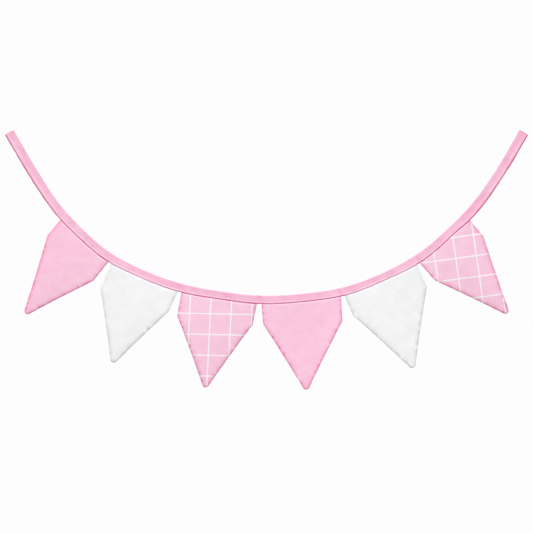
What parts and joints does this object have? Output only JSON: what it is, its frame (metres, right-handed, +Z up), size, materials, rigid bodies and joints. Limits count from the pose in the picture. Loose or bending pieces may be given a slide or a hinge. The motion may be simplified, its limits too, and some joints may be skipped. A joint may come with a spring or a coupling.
{
  "type": "fabric bunting",
  "caption": "Hanging fabric bunting: pointed cotton flags in plain pink, white and pink check, their tops sewn into a folded binding tape that hangs in a swag.",
  "frame": {"origin": "midway between the upper corners of the tape's two ends, where the bunting is held up", "axes": "+X along the bunting to the viewer's right, +Z up, -Y towards the viewer"},
  "size_m": [0.942, 0.0107, 0.4671],
  "materials": {
    "binding_pink": "plain-woven cotton binding, pressed and folded",
    "plain_pink": "plain-woven cotton, sewn and turned",
    "white_cotton": "plain-woven cotton, sewn and turned",
    "pink_check": "plain-woven cotton with a fine white windowpane check, sewn and turned"
  },
  "bodies": {
    "root": {"binding_tape": "binding_pink", "flag_1": "plain_pink", "flag_2": "white_cotton", "flag_3": "pink_check", "flag_4": "plain_pink", "flag_5": "white_cotton", "flag_6": "pink_check"}
  },
  "joints": []
}
